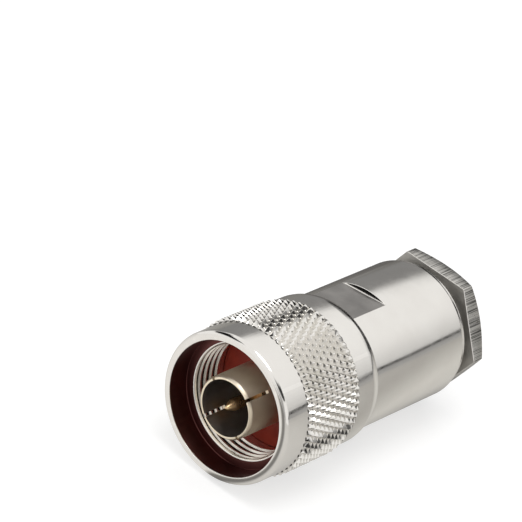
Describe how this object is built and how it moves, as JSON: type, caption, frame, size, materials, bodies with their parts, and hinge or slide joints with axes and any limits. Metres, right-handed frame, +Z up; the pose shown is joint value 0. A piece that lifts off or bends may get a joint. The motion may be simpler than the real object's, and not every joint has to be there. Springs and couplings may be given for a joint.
{
  "type": "n type connector",
  "caption": "Male N type coaxial plug, clamp type: knurled threaded coupling nut, cylindrical shell with spanner flats, slotted outer contact, centre pin and hexagonal clamp nut.",
  "frame": {"origin": "on the floor, under the middle of the bounding box, which is under the plug's axis; the axis is 10.5 mm above it", "axes": "+Y runs along the plug's axis from the mating end to the cable end, +Z is up, the plug lies on its knurl with a flat of the hexagon down"},
  "size_m": [0.021, 0.0422, 0.021],
  "materials": {
    "nickel": "bright nickel plate on brass",
    "contact": "warm nickel or tin plate on brass",
    "gold": "gold plate on brass",
    "bronze": "plain spring bronze",
    "red_rubber": "smooth silicone",
    "black_rubber": "smooth rubber",
    "ptfe": "turned, waxy white"
  },
  "bodies": {
    "shell": {"shell": "nickel", "outer_contact": "contact", "mating_gasket": "red_rubber", "snap_ring": "bronze", "front_insulator": "ptfe", "rear_insulator": "ptfe", "center_pin": "gold", "braid_clamp": "contact", "cable_gasket": "black_rubber"},
    "coupling_nut": {"coupling_nut": "nickel"},
    "gland": {"pressure_washer": "contact"},
    "clamp_nut": {"clamp_nut": "nickel"}
  },
  "joints": [
    {"name": "coupling_nut_turn", "type": "hinge", "parent": "shell", "child": "coupling_nut", "pos_m": [0, 0, 0.0105], "axis": [0, -1, 0], "continuous": true},
    {"name": "gland_slide", "type": "slide", "parent": "shell", "child": "gland", "axis": [0, -1, 0], "range_m": [-0.004, 0.0017]},
    {"name": "clamp_nut_turn", "type": "hinge", "parent": "gland", "child": "clamp_nut", "pos_m": [0, 0, 0.0105], "axis": [0, -1, 0], "range_deg": [-1440, 612]}
  ],
  "couplings": [
    {"joint": "gland_slide", "follows": "clamp_nut_turn", "m_per_rad": 0.00015915}
  ]
}
